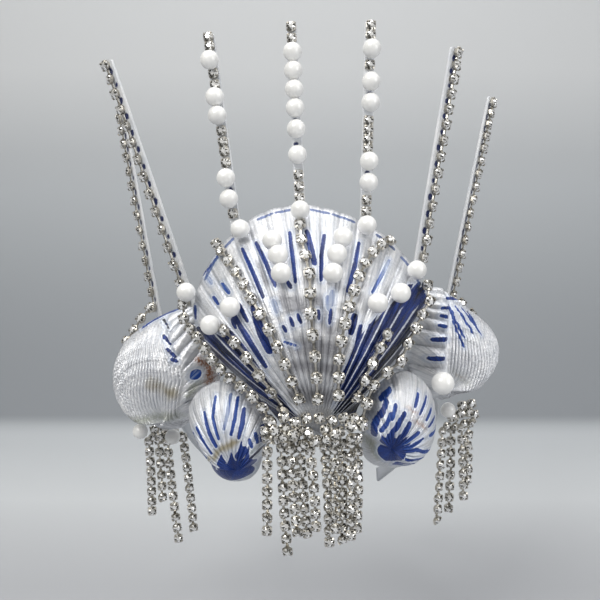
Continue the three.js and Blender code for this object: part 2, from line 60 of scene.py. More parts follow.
VALVES = {
    "scallop": {
        "outline": [(-180, 3), (-120, 5), (-90, 14), (-74, 17), (-62, 24), (-56, 34), (-51.5, 48),
                    (-48, 63), (-44, 71), (-39, 76), (-34, 80), (-26, 86), (-18, 91), (-10, 94.6),
                    (0, 95), (8, 92.8), (15, 90.2), (22, 87), (29, 83), (35, 79.3), (40.5, 75),
                    (44.5, 70.5), (48, 61), (51.5, 47), (55, 33), (62, 22), (74, 17), (90, 14),
                    (120, 5), (180, 3)],
        "bulge": [(0, 0.32), (0.1, 0.62), (0.25, 0.88), (0.42, 1), (0.55, 0.97), (0.65, 0.87),
                  (0.75, 0.7), (0.88, 0.38), (1, 0)],
        "fan": (-60, 60), "hinge": (1, 1.4), "side_fall": 2.6, "depth": 28, "edge": 0.7,
        "wall": 2.4, "ribs": 24, "rib_height": 1.1, "rim_wave": 0.9, "at": (3.9, -15, -30.5),
        "lean": 14, "roll": -4, "yaw": 0, "mesh": (20, 84, 24),
    },
    "cockle_lower_left": {
        **LOWER,
        "outline": [(-180, 8.6), (-160, 9.6), (-140, 10.9), (-127, 11.9), (-107, 13), (-90, 13.6),
                    (-75, 16), (-60, 22.5), (-52, 28), (-46, 31), (-30, 34.5), (-12, 35), (5, 32),
                    (18, 27.5), (30, 23), (50, 14.5), (67, 10.5), (90, 8.5), (130, 7.9),
                    (180, 8.6)],
        "fan": (-75, 58), "hinge": (0.9, 1.3), "at": (-27.8, -22, -41.9), "lean": 4, "yaw": -8,
    },
    "cockle_lower_right": {
        **LOWER,
        "outline": [(-180, 12.5), (-138, 11.5), (-100, 10.5), (-81, 10.5), (-55, 12), (-26, 18),
                    (-14, 22.5), (2, 27.5), (16, 30.5), (34, 29), (55, 25.4), (74, 22.6), (90, 21),
                    (104, 19.4), (120, 16.8), (140, 15.4), (160, 14), (180, 12.5)],
        "fan": (-42, 128), "hinge": (0.95, 1.35), "at": (31.5, -20, -32.9), "lean": 0, "yaw": 8,
    },
    "cockle_outer_left": {
        **OUTER,
        "outline": [(-180, 5.5), (-107, 11), (-90, 20), (-72, 31.5), (-57, 38), (-43, 41.5),
                    (-27, 43.5), (-12, 46), (0, 49), (8, 50), (16, 45.5), (25, 40), (34, 35),
                    (44, 30), (56, 22.5), (72, 13), (100, 7), (180, 5.5)],
        "fan": (-95, 70), "depth": 19, "at": (-58.7, 9.2, -33.5), "lean": 7, "yaw": -20,
        "ridge": [(0, 10), (20, 12), (24, 11), (28, 8.5), (33, 4), (38, 0), (43.7, -4), (50, -5)],
        "fine_side": -1, "fine_ribs": 27, "fold_slant": 0.75, "fold_height": 2.4,
        "folds": [-8, 2, 7, 12, 17, 22, 27, 31, 35, 39, 43, 48, 54], "knob": (14.9, 22.4),
    },
    "cockle_outer_right": {
        **OUTER,
        "outline": [(-180, 5), (-90, 7), (-62, 11), (-50, 16), (-35, 21), (-18, 31), (-8, 40),
                    (0, 44.5), (7, 45), (15, 42.5), (32, 39.5), (50, 39.5), (61, 38.5), (72, 34.5),
                    (90, 22), (115, 11), (180, 5)],
        "fan": (-65, 95), "depth": 18, "at": (56.3, 13, -21), "lean": 10, "yaw": 20,
        "ridge": [(-5, -3), (5, -3), (14.6, -2.5), (22.6, -0.8), (28.4, 1), (32.5, 2.6), (36, 4.5),
                  (40, 6), (45, 8)],
        "fine_side": 1, "fine_ribs": 21, "fold_slant": 0.2, "fold_height": 4.6,
        "folds": [-14, -4, 5, 14.6, 22.6, 28.5, 32.6, 36.3, 39.8, 43],
    },
}
# Spikes: foot and tip of the strip's middle line, and how far its face turns from the front.
SPIKES = {
    1: ((-67.2, 46.6, -36), (-92, 72, 102), -60),
    2: ((-44, 15.2, -8.4), (-90.6, 44.6, 124.4), -45),
    3: ((-22.9, -5.6, -4), (-43, 28, 133.9), -10),
    4: ((-0.3, -5.9, -3), (-7.5, 28, 137.6), 0),
    5: ((22.8, -4.6, -4), (26.6, 28, 139.3), 8),
    6: ((40.2, 3.7, -10), (65, 38, 129.3), 42),
    7: ((59, 28, -22.4), (86.3, 54.6, 108.8), 62),
}
# Stones along the chains of the outer spikes: the side they sit on, the top and lowest one up the
# strip, and how many.
SPIKE_STONES = {1: (-2, 140, 44, 14), 2: (-2, 142, 28, 15), 6: (2, 143.5, 50.5, 14), 7: (2, 134.5, 41, 16)}
# Heights of the stones and of the pearls up the middle spikes.
SPIKE_ROWS = {
    3: ((64, 86, 91, 95, 100, 120, 125, 137, 141), (70, 79, 106, 114, 130)),
    4: ((69, 74, 79, 138, 143), (87, 98, 107, 115, 123, 131)),
    5: ((64, 69, 91, 95, 99, 103, 127, 140, 144), (76, 85, 110, 119, 133)),
}
# Routes of the chains over the scallop, across and up it, and how many stones each has.
FACE_CHAINS = {
    "a": (11, [(-1.5, 89.5), (-1.5, 77), (0.5, 64), (0, 45), (0.5, 30), (0.5, 15.5)]),
    "b": (12, [(-37, 80.5), (-27, 65), (-21, 53), (-14, 38), (-7, 16)]),
    "d": (6, [(-33.5, 44), (-25.5, 33.5), (-12.5, 12)]),
    "e": (12, [(35, 76), (28, 72), (21, 63.5), (14.5, 49), (10, 33), (8.5, 16.5)]),
    "g": (5, [(28.5, 38), (22, 28), (15.5, 15)]),
}
# Routes of the chains in the seams beside the scallop, and how many stones each has.
SEAM_CHAINS = {
    "left": (12, [(-53, -5, 21), (-52, -7.5, 14), (-46, -14, 9), (-40, -20, 2), (-33.5, -26.5, -3),
                  (-25, -32, -8), (-18, -33, -15), (-16, -33, -20)]),
    "right": (10, [(50, -4, 29), (51, -7.5, 24.5), (48, -11.5, 20.5), (43, -19.5, 13.5),
                   (38.5, -25, 7), (36, -27.5, 1.5), (30, -29.5, -2), (24.5, -32, -7),
                   (22.5, -33, -14), (21, -33, -20.5)]),
}
EDGE_CHAINS = {
    "left": (4, [(-77, 44, 8.5), (-81, 43, 4), (-85, 43, -2), (-89, 43, -8)]),
    "right": (5, [(73, 34, 13), (78, 35, 8), (83, 36, 2), (88, 37, -5), (90, 38, -11)]),
}
# Each fringe: how far forward it hangs, the size of its bunched head, single stones above the head,
# the middles of the bunch, and the top and lower end of each strand, all as (across, up).
FRINGES = {
    "centre": {"y": -34.5, "lump": 5.2,
        "top": [(-15, -20.5), (-10, -18.5), (-5.5, -20.5), (-1, -19), (4, -18.5), (9, -19.5),
                (13.5, -18.5), (17.5, -19), (21, -21.5), (-3, -24), (6.5, -23), (-9.5, -23),
                (-13, -27), (-5.5, -28), (3, -28), (12, -24)],
        "head": [(-14.5, -24), (-7.5, -25.5), (0.5, -27), (9, -25), (16.5, -23)],
        "strands": [(-16.5, -23.5, -17, -69), (-11, -28.5, -8.5, -79.5), (-7.5, -28.5, -4.5, -69.5),
                    (-4, -28.5, -0.5, -71), (0, -28.5, 3, -67), (6, -28.5, 8.5, -75),
                    (10, -28.5, 11, -68), (13.5, -27, 14, -74), (16.5, -26, 17, -71),
                    (19, -24.5, 19.5, -69)]},
    "left": {"y": 18, "lump": 3.2,
        "top": [(-72, -44.5), (-67.5, -45), (-63, -45)],
        "head": [(-73.5, -47), (-69, -47.5), (-64.5, -47), (-60, -46.5)],
        "strands": [(-74.5, -47, -74.5, -87.5), (-70.5, -47, -69.5, -82), (-66, -47, -62, -102),
                    (-59, -46, -55, -97.5)]},
    "right": {"y": 14, "lump": 3.2,
        "top": [(66.5, -36.5), (70.5, -35), (74.5, -34.5), (77, -35.5), (71, -31), (75.5, -30.5)],
        "head": [(63, -40.5), (67, -40), (71, -39), (75, -37.5)],
        "strands": [(62.5, -40, 61.5, -90.5), (66.5, -40, 67, -85.5), (70.5, -38.5, 73.5, -78),
                    (75, -37, 76, -71)]},
}
# Brush marks and stains on each shell, in whole millimetres across and up it: kind (s stroke, t
# tapering stroke, b broad patch, p full patch, w rubbed, g grey, o olive, c copper), width, tone
# from pale (0) to navy (1), then the paths.
PAINT = {
    "scallop": [
        ("s", 1.2, 0.7, [(-44, 68), (-39, 73), (-36, 77)]),
        ("s", 1.8, 0.75, [(-26, 77), (-22, 67), (-18, 56)], [(-20, 79), (-16, 69), (-13, 60)],
         [(-6, 82), (-5, 61)], [(8, 80), (6, 71), (5, 61)], [(22, 76), (19, 66), (15, 56)]),
        ("s", 2.5, 0.7, [(1, 82), (2, 75), (3, 68)]),
        ("s", 1.6, 0.45, [(34, 68), (30, 62), (25, 55)]),
        ("s", 1.9, 0.5, [(-35, 63), (-32, 59)]),
        ("s", 1.6, 0.6, [(-39, 58), (-37, 55)], [(-48, 55), (-48, 50)]),
        ("s", 2.3, 0.3, [(-42, 67), (-40, 64)], [(-14, 54), (-13, 50)], [(9, 56), (8, 51)],
         [(7, 54), (7, 50)]),
        ("s", 1.9, 0.8, [(-8, 61), (-7, 59)], [(-28, 54), (-25, 47)], [(-31, 48), (-30, 45)]),
        ("s", 3.5, 0.8, [(-22, 52), (-20, 43), (-17, 35)]),
        ("s", 2.3, 0.8, [(-31, 51), (-25, 40), (-19, 29)]),
        ("b", 11.5, 0.88, [(-45, 41), (-37, 36), (-29, 29), (-22, 20), (-14, 7)]),
        ("b", 7, 0.85, [(-33, 42), (-27, 34), (-21, 24)]),
        ("s", 1.6, 0.8, [(-11, 44), (-10, 42)], [(-8, 47), (-7, 44)], [(-5, 48), (-4, 45)],
         [(3, 49), (3, 46)], [(8, 49), (7, 44)]),
        ("s", 3, 0.8, [(17, 46), (15, 40)]),
        ("s", 2, 0.8, [(19, 42), (17, 35)], [(23, 42), (19, 32)]),
        ("s", 1.2, 0.5, [(-11, 38), (-6, 36)]),
        ("s", 2.3, 0.8, [(47, 58), (35, 48), (27, 40)], [(49, 53), (37, 44), (28, 36)]),
        ("b", 11.5, 0.85, [(43, 51), (32, 42), (22, 32), (14, 20)]),
        ("b", 11, 1, [(39, 36), (30, 28), (21, 20), (13, 9)]),
        ("b", 4, 0.8, [(49, 54), (38, 46), (28, 37)]),
        ("w", 8, 0.4, [(-5, 36), (6, 34)], [(-10, 54), (-4, 51)], [(-8, 17), (8, 14)]),
        ("w", 6, 0.35, [(3, 53), (7, 41)], [(-9, 29), (12, 25)], [(-18, 70), (-16, 63)]),
    ],
    "cockle_outer_left": [
        ("s", 1.7, 0.6, [(-17, 39), (-12, 43), (-5, 47), (2, 50)]),
        ("s", 1.3, 0.8, [(-1, 38), (4, 35)], [(3, 33), (7, 30)], [(6, 29), (8, 28)]),
        ("s", 0.9, 1, [(-5, 44), (1, 41)]),
        ("p", 3.4, 0.58, [(15, 23), (15, 22)]),
        ("o", 8.5, 0.35, [(-3, 18), (7, 15)]),
        ("o", 5, 0.4, [(-25, 0), (-17, -2)]),
        ("c", 3.6, 0.45, [(15, 29), (18, 26), (19, 23), (19, 19)]),
        ("g", 4.5, 0.5, [(16, 19), (14, 14)]),
        ("g", 6, 0.5, [(-19, -2), (9, 5)]),
    ],
    "cockle_outer_right": [
        ("s", 1.6, 0.6, [(4, 37), (4, 31), (7, 23)], [(8, 36), (10, 31), (13, 24)],
         [(15, 33), (17, 27)]),
        ("s", 1.3, 0.6, [(12, 35), (15, 29), (18, 23)], [(3, 30), (4, 25), (6, 19)]),
        ("s", 1.6, 0.7, [(4, 40), (14, 39)], [(0, 36), (4, 36)], [(-2, 33), (1, 32)],
         [(-4, 29), (-1, 28)]),
        ("s", 2.2, 0.75, [(-7, 23), (-2, 23)], [(-9, 15), (-5, 15)]),
        ("c", 5, 0.2, [(2, 7), (6, 5)]),
        ("g", 8, 0.3, [(0, 9), (7, 3)]),
    ],
    "cockle_lower_left": [
        ("s", 1.6, 0.6, [(-13, 23), (-10, 16), (-7, 11)], [(0, 29), (0, 22), (-1, 16)]),
        ("s", 1.6, 0.35, [(-3, 30), (-3, 24), (-4, 18)]),
        ("s", 1.4, 0.6, [(-9, 29), (-9, 22), (-6, 14)], [(-16, 17), (-13, 13), (-9, 8)],
         [(-18, 14), (-16, 8), (-12, 5)], [(6, 14), (7, 11)]),
        ("s", 2, 0.7, [(3, 25), (3, 20), (2, 15)], [(-23, 12), (-20, 6), (-17, 0), (-13, -4)]),
        ("s", 1.2, 0.6, [(8, 16), (9, 12)], [(10, 18), (10, 12)]),
        ("s", 1.2, 0.95, [(6, 6), (10, 9)]),
        ("o", 3.7, 0.6, [(-11, 3), (-5, 10), (2, 14)]),
        ("p", 5, 0.72, [(-11, -5), (-4, -4), (4, -1)]),
        ("p", 5.7, 0.72, [(-6, -1), (5, 4)]),
        ("p", 3.3, 0.72, [(2, 7), (4, 10)]),
        ("t", 3.6, 0.72, [(-12, -4), (-9, 5)], [(-5, 4), (-5, 8)], [(-1, 4), (-1, 9)]),
        ("t", 2.7, 0.72, [(3, 9), (3, 14)], [(5, 5), (6, 12)]),
        ("g", 3.3, 0.6, [(7, 10), (5, -2)]),
    ],
    "cockle_lower_right": [
        ("p", 8.3, 0.72, [(-1, -1), (1, 0)]),
        ("p", 4, 0.72, [(-3, 5), (1, 4)], [(-1, -4), (2, -4)]),
        ("t", 2.8, 0.72, [(2, 3), (6, 7)], [(3, 1), (7, 4)], [(2, 0), (8, 1)], [(-1, 6), (0, 11)],
         [(-4, 5), (-5, 8)]),
        ("s", 1.9, 0.68, [(-2, 20), (-4, 16), (-6, 13)], [(-5, 15), (-7, 10), (-7, 6)]),
        ("s", 1.7, 0.6, [(-1, 16), (-3, 12), (-5, 9)], [(1, 19), (0, 16), (-1, 14)],
         [(10, 8), (7, 6), (3, 3)], [(12, 5), (8, 3), (4, 1)], [(19, -4), (9, 1), (4, 0)],
         [(0, 24), (-2, 22), (-4, 20)]),
        ("s", 2.4, 0.7, [(4, 16), (1, 11), (-3, 6)], [(6, 12), (4, 8), (1, 4)]),
        ("s", 1.5, 0.6, [(14, -5), (5, -3)], [(9, -6), (3, -7)], [(9, -9), (2, -8)],
         [(11, 22), (9, 18)], [(15, 20), (11, 15)], [(17, 15), (14, 12)], [(19, 11), (15, 9)],
         [(22, 5), (16, 5)]),
        ("g", 5, 0.25, [(6, 29), (13, 25)]),
        ("c", 4.2, 0.3, [(6, 18), (12, 14)], [(8, 13), (14, 9)]),
        ("g", 5, 0.6, [(-8, 2), (-4, -4)]),
    ],
}
# Where the blue line inside the scallop's rim shows: from and to, in degrees round the shell.
RIM_DASHES = [(-33, -26), (-23, -20), (-17, -15), (-12, -8), (-7, -3), (2, 7), (8, 14), (16, 19),
              (21, 23), (25, 27), (30, 33), (36, 39)]

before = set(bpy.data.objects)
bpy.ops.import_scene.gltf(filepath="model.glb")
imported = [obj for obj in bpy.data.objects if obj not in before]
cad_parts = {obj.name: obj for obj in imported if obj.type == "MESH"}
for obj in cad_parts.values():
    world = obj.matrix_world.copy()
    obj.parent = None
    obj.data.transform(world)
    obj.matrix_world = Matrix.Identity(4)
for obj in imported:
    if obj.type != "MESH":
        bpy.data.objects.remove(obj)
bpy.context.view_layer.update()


# ------------------------------------------------------------------ materials
def linear(code):
    """An sRGB hex colour as linear red, green, blue and alpha."""
    values = [int(code[i:i + 2], 16) / 255 for i in (1, 3, 5)]
    return [v / 12.92 if v <= 0.04045 else ((v + 0.055) / 1.055) ** 2.4 for v in values] + [1.0]


def add(tree, kind, inputs=None, out=0, stops=(), **settings):
    """Adds a node with its settings, each input linked or given its value, and the colour stops of
    a ramp. Gives one of its outputs."""
    node = tree.nodes.new(kind)
    for name, value in settings.items():
        setattr(node, name, value)
    for name, value in (inputs or {}).items():
        if isinstance(value, bpy.types.NodeSocket):
            tree.links.new(value, node.inputs[name])
        else:
            node.inputs[name].default_value = value
    for _ in stops[2:]:
        node.color_ramp.elements.new(0.5)
    for k, (position, code) in enumerate(stops):
        node.color_ramp.elements[k].position = position
        node.color_ramp.elements[k].color = linear(code)
    return node.outputs[out] if node.outputs else None


def new_material(name, **values):
    """A material, its node tree, its shader with these values, and the object's own coordinates."""
    material = bpy.data.materials.new(name)
    material.use_nodes = True
    tree = material.node_tree
    tree.nodes.clear()
    surface = add(tree, "ShaderNodeBsdfPrincipled",
                  {key.replace("_", " "): value for key, value in values.items()})
    add(tree, "ShaderNodeOutputMaterial", {"Surface": surface})
    return material, tree, surface.node, add(tree, "ShaderNodeTexCoord", out="Object")


def grain(tree, place, size, detail=3.0, rough=0.55):
    """A texture whose grains have a size in millimetres."""
    return add(tree, "ShaderNodeTexNoise", {"Vector": place, "Scale": 1 / (size * MM),
               "Detail": detail, "Roughness": rough})


def painted(tree, under, mask, bare, full, colour, most=1.0):
    """The colour under a coat that sets in as the mask goes from bare to full."""
    share = add(tree, "ShaderNodeMapRange", {"Value": mask, "From Min": bare, "From Max": full,
                "To Max": most}, interpolation_type="SMOOTHSTEP")
    return add(tree, "ShaderNodeMix", {"Factor": share, 6: under, 7: colour}, 2, data_type="RGBA")


def ragged(tree, edge, texture, amount):
    """The distance to an edge, moved to and fro by a texture."""
    swing = add(tree, "ShaderNodeMath", {0: texture, 1: 0.5}, operation="SUBTRACT")
    return add(tree, "ShaderNodeMath", {0: swing, 1: amount, 2: edge}, operation="MULTIPLY_ADD")


def painted_shell():
    """Natural calcite shell brushed with silver-white acrylic and cobalt strokes.

    The eye sees a satin pearl-white skin, blue brush marks in the grooves and grey where it rubs
    off."""
    material, tree, shader, place = new_material("silver_painted_shell", Roughness=0.36, IOR=1.53,
                                                 Coat_Weight=0.1, Coat_Roughness=0.25)
    mark = {name: add(tree, "ShaderNodeAttribute", out="Fac", attribute_name=name)
            for name in ("stroke", "tone", "rim_line", "groove", "worn", "olive", "copper", "grey")}
    fine, broad, crackle = (grain(tree, place, *look)
                            for look in ((0.9, 4.0), (7.0, 3.0), (1.7, 5.0, 0.62)))
    along = add(tree, "ShaderNodeUVMap", uv_map="rib_and_height")
    streaks, growth = (add(tree, "ShaderNodeTexNoise", {"Vector": add(tree, "ShaderNodeMapping", {
        "Vector": along, "Scale": stretch}), "Scale": 1.0, "Detail": detail})
        for stretch, detail in (((5.0, 0.9, 1.0), 4.0), ((0.22, 9.0, 1.0), 5.0)))
    # base coat: silver-white; painted shade makes it cooler and greyer in the grooves, and it is greyer
    # where it is rubbed
    base = add(tree, "ShaderNodeValToRGB", {0: streaks},
               stops=[(0.25, "#BABEC5"), (0.5, "#DCDEE3"), (0.72, "#F4F4F6")])
    patchy = add(tree, "ShaderNodeMapRange", {"Value": broad, "From Min": 0.3, "From Max": 0.75,
                 "To Min": 0.12, "To Max": 0.5}, interpolation_type="SMOOTHSTEP")
    shade = add(tree, "ShaderNodeMath", {0: mark["groove"], 1: patchy}, operation="MULTIPLY")
    base = add(tree, "ShaderNodeMix", {"Factor": shade, 6: base, 7: linear("#8B909B")}, 2,
               data_type="RGBA")
    rubbed = add(tree, "ShaderNodeMath", {0: broad, 1: 0.5, 2: mark["worn"]},
                 operation="MULTIPLY_ADD")
    base = painted(tree, base, rubbed, 0.35, 0.9, linear("#9C9DA3"))
    for stain, texture, bare, full, code in (("grey", fine, 0.1, 0.6, "#A9ADA6"),
                                             ("olive", broad, 0.1, 0.5, "#A8A08A"),
                                             ("copper", fine, 0.12, 0.5, "#8A5E44")):
        broken = add(tree, "ShaderNodeMath", {0: mark[stain], 1: texture}, operation="MULTIPLY")
        base = painted(tree, base, broken, bare, full, linear(code))
    # blue strokes with firm edges and a paler line beside each: bare silver lifted by a painted highlight
    # on the raised rib edge
    edge = ragged(tree, ragged(tree, mark["stroke"], fine, 0.5), streaks, 0.5)
    base = painted(tree, base, edge, 1.9, 0.3, linear("#9FB2D2"), 0.35)
    # painted highlight: a thin near-white line just outside each stroke
    base = painted(tree, base, edge, 0.6, 0.35, linear("#EEF1F7"), 0.45)
    blue = add(tree, "ShaderNodeValToRGB", {0: ragged(tree, mark["tone"], streaks, 0.9)},
               stops=[(0.0, "#C6CBD6"), (0.32, "#A3AFC8"), (0.5, "#1E4A98"), (0.7, "#0C3280"),
                      (0.88, "#0A2056"), (1.0, "#050A18")])
    base = painted(tree, base, edge, 0.15, -0.15, blue)
    line = ragged(tree, mark["rim_line"], fine, 0.9)
    base = painted(tree, base, line, 0.2, -0.15, linear("#3E5890"), 0.85)
    # the silver coat is a little metallic, the blue is not
    metal = add(tree, "ShaderNodeMapRange", {"Value": edge, "From Min": -0.15, "From Max": 0.3,
                "To Min": 0.1, "To Max": 0.4}, interpolation_type="SMOOTHSTEP")
    relief = add(tree, "ShaderNodeMath", {0: crackle, 1: 0.85}, operation="MULTIPLY")
    relief = add(tree, "ShaderNodeMath", {0: growth, 1: 0.6, 2: relief}, operation="MULTIPLY_ADD")
    bump = add(tree, "ShaderNodeBump", {"Height": relief, "Strength": 0.8, "Distance": 0.7 * MM})
    for value, name in ((base, "Base Color"), (metal, "Metallic"), (bump, "Normal")):
        tree.links.new(value, shader.inputs[name])
    return material


def mottled(name, size, dark, light, detail=3.0, **values):
    """A material whose colour wanders from dark to light over patches of a size."""
    material, tree, shader, place = new_material(name, **values)
    colour = add(tree, "ShaderNodeValToRGB", {0: grain(tree, place, size, detail)},
                 stops=(dark, light))
    tree.links.new(colour, shader.inputs["Base Color"])
    return material


def cut_crystal():
    """Machine-cut crystal with a foil back: sharp facets whose colour is painted light or dark by turns,
    as glints and reflections.
    """
    material, tree, shader, place = new_material("cut_crystal", Metallic=0.6, Roughness=0.08, IOR=1.56)
    painted_glint = add(tree, "ShaderNodeAttribute", out="Fac", attribute_name="painted_glint")
    # painted reflection: each facet's colour runs from dark grey to white by its painted glint
    base = add(tree, "ShaderNodeValToRGB", {0: ragged(tree, painted_glint, grain(tree, place, 0.8), 1.6)},
               stops=[(0.08, "#4C4B48"), (0.3, "#9E9C96"), (0.5, "#ECEBE7"), (0.8, "#FFFFFF")])
    tree.links.new(base, shader.inputs["Base Color"])
    return material


def frosted_strip():
    """Extruded acrylic strip, white and slightly see-through, with navy dabs between the stones."""
    material, tree, shader, place = new_material("white_acrylic_strip", Roughness=0.28, IOR=1.49,
                                                 Transmission_Weight=0.25)
    dab = add(tree, "ShaderNodeAttribute", out="Fac", attribute_name="dab")
    edge = ragged(tree, dab, grain(tree, place, 0.8), 1.3)
    base = add(tree, "ShaderNodeValToRGB", {0: grain(tree, place, 6.0)},
               stops=[(0.3, "#E2E6EC"), (0.7, "#F5F6F8")])
    base = painted(tree, base, edge, 0.35, -0.25, linear("#1F2A5C"))
    tree.links.new(base, shader.inputs["Base Color"])
    return material


def grey_band():
    """Moulded ABS headband, satin grey with a faint orange-peel skin."""
    material, tree, shader, place = new_material("satin_grey_abs", Base_Color=linear("#B4B8BF"),
                                                 Roughness=0.42, IOR=1.53)
    bump = add(tree, "ShaderNodeBump", {"Height": grain(tree, place, 1.5), "Strength": 0.12,
               "Distance": 0.2 * MM})
    tree.links.new(bump, shader.inputs["Normal"])
    return material


SHELL = painted_shell()
# The unpainted inside of a shell: smooth, chalky cream nacre.
LINING = mottled("cream_shell_lining", 9.0, (0.3, "#D9D2C6"), (0.7, "#EFEBE4"), Roughness=0.42,
                 IOR=1.55)
# Moulded bead with pearl-essence lacquer: milky white body under a clear, glossy skin.
BEAD = mottled("lacquered_pearl_bead", 5.0, (0.3, "#E6E6E5"), (0.7, "#F6F6F5"), 1.0, Roughness=0.3,
               IOR=1.5, Coat_Weight=0.8, Coat_Roughness=0.1, Sheen_Weight=0.2)
# Stamped brass cup with bright silver plating, slightly darker and lighter in small patches.
PLATE = mottled("silver_plated_brass", 1.6, (0.3, "#9A958B"), (0.65, "#D8D4CB"), Metallic=1.0,
                Roughness=0.3)
CRYSTAL, STRIP, GREY = cut_crystal(), frosted_strip(), grey_band()


# ------------------------------------------------------------------ meshes
def piece(name, points, faces, materials, slots=None, smooth=True):
    """A mesh object at the origin from points in millimetres; slots gives each face's material."""
    mesh = bpy.data.meshes.new(name)
    mesh.from_pydata((np.asarray(points, float) * MM).tolist(), [], faces)
    for material in materials:
        mesh.materials.append(material)
    if slots is not None:
        mesh.polygons.foreach_set("material_index", np.asarray(slots, np.int32))
    mesh.polygons.foreach_set("use_smooth", np.full(len(faces), smooth))
    mesh.update()
    return shown(name, mesh)


def shown(name, data):
    """A new object of the scene that holds the data."""
    thing = bpy.data.objects.new(name, data)
    bpy.context.scene.collection.objects.link(thing)
    return thing


def store(mesh, name, values, kind="FLOAT", domain="POINT"):
    field = "vector" if kind == "FLOAT_VECTOR" else "value"
    values = np.asarray(values, np.float32).ravel()
    mesh.attributes.new(name, kind, domain).data.foreach_set(field, values)


def joined(name, things):
    with bpy.context.temp_override(active_object=things[0], object=things[0],
                                   selected_editable_objects=things, selected_objects=things):
        bpy.ops.object.join()
    things[0].name = name
    return things[0]


def finish_piece(thing, slot, *nodes):
    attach(thing, "root")
    if nodes:
        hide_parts(*nodes)


def weave(first, rows, n, caps=(), flip=False):
    """Quads between rings of n points that are numbered from first, and a cap on each ring named."""
    i, j = np.meshgrid(np.arange(rows), np.arange(n), indexing="ij")
    a, b = first + i * n + j, first + i * n + (j + 1) % n
    faces = np.stack([a, b, b + n, a + n], -1).reshape(-1, 4).tolist()
    faces += [[first + ring * n + (k if ring else n - 1 - k) for k in range(n)] for ring in caps]
    return [face[::-1] for face in faces] if flip else faces


def unit(vector):
    return np.asarray(vector, float) / np.linalg.norm(vector)


# ------------------------------------------------------------------ shell forms
def look_up(rows, at):
    """Smooth look-up of an array of places in a short table of (place, value) rows."""
    xs, ys = (np.array(column, float) for column in zip(*rows))
    at = np.clip(np.asarray(at, float), xs[0], xs[-1])
    k = np.clip(np.searchsorted(xs, at, side="left"), 1, len(xs) - 1)
    place = np.arange(len(xs))
    before, after = np.maximum(place - 1, 0), np.minimum(place + 1, len(xs) - 1)
    slope = (ys[after] - ys[before]) / (xs[after] - xs[before])
    h = xs[k] - xs[k - 1]
    t = (at - xs[k - 1]) / h
    return (ys[k - 1] * (2 * t**3 - 3 * t**2 + 1) + slope[k - 1] * h * (t**3 - 2 * t**2 + t)
            + ys[k] * (3 * t**2 - 2 * t**3) + slope[k] * h * (t**3 - t**2))


def ease(low, high, at):
    t = np.clip((np.asarray(at, float) - low) / (high - low), 0, 1)
    return t * t * (3 - 2 * t)


def dome_depth(v, angle, rho):
    """How far a valve bulges forward at an angle and a share of the way to its rim."""
    r = np.minimum(1, rho)
    low, high = v["fan"]
    off = np.abs(angle - (low + high) / 2) / ((high - low) / 2)
    front = look_up(v["bulge"], r)
    hinge = v["bulge"][0][1] * (1 - r**2.4)
    depth = front + (hinge - front) * ease(*v["hinge"], off)
    if v["side_fall"]:
        side = np.sqrt(np.maximum(0.02, 1 - np.minimum(1, off) ** v["side_fall"]))
        depth = depth * (1 - (1 - side) * ease(0, 0.3, r))
    return v["depth"] * depth


def rib_turn(v, angle):
    low, high = v["fan"]
    return (angle - low) / (high - low) * v["ribs"]


def fan_profile(v, angle):
    """Relief of ribs that fan from the beak: 0 in a groove to 1 on a rounded top, with a fine line
    by each edge; and the share of groove."""
    turn = rib_turn(v, angle)
    within = np.minimum(turn % 1, 1 - turn % 1)
    top = 1 - (1 - np.minimum(1, within * 2.6)) ** 2 - 0.3 * np.exp(-((within - 0.27) / 0.04) ** 2)
    rise = np.where((angle <= v["fan"][0]) | (angle >= v["fan"][1]), 0, top)
    return rise, 1 - rise


def side_reach(v, up, side):
    """How far across the rim lies at a height, on one side."""
    angles = np.radians(np.linspace(-180, 180, 721))
    reach = look_up(v["outline"], np.degrees(angles))
    x, z = reach * np.sin(angles) * side, reach * np.cos(angles)
    levels = np.linspace(z.min() + 0.3, z.max() - 0.3, 60)
    widest = [max(x[np.abs(z - level) < 1.2].max(), 0.5) for level in levels]
    return side * np.interp(up, levels, widest)


def ridged_profile(v, across, up):
    """Relief of a shell with a ridge: fine ribs that bow along the rim on one side, folds on the
    other. Gives the rise, in rib heights, and the share of groove."""
    side, folds = v["fine_side"], v["folds"]
    over = np.interp(up, *zip(*v["ridge"]))
    out = (across - over) * side
    bow = out / np.maximum(1.0, (side_reach(v, up, side) - over) * side)
    within = np.abs(np.clip(bow, 0, 1) * v["fine_ribs"] % 1 - 0.5) * 2
    lobe = np.abs(np.cos(math.pi * np.interp(up + out * v["fold_slant"], folds,
                                             range(len(folds))))) ** 0.6
    fold = lobe * v["fold_height"] * ease(0, 2.5, -out)
    rise = np.where(out > 0, 2.3 * (1 - within**3) * ease(0, 1.5, out), fold)
    groove = np.where(out > 0, 1.5 * within**2 * ease(0, 1.5, out),
                      (1 - lobe) * 2.2 * ease(0, 2, -out))
    return rise + 0.7 * np.exp(-(out / 1.1) ** 2), groove


def shell_matrix(v):
    turn = (Matrix.Rotation(math.radians(v["yaw"]), 4, "Z")
            @ Matrix.Rotation(math.radians(-v["lean"]), 4, "X")
            @ Matrix.Rotation(math.radians(v["roll"]), 4, "Y"))
    return np.array(Matrix.Translation(v["at"]) @ turn)


def moved(matrix, points):
    return np.asarray(points, float) @ matrix[:3, :3].T + matrix[:3, 3]


FAR = 6.0  # stands for no stroke near
STAINS = {"w": "worn", "o": "olive", "c": "copper", "g": "grey"}


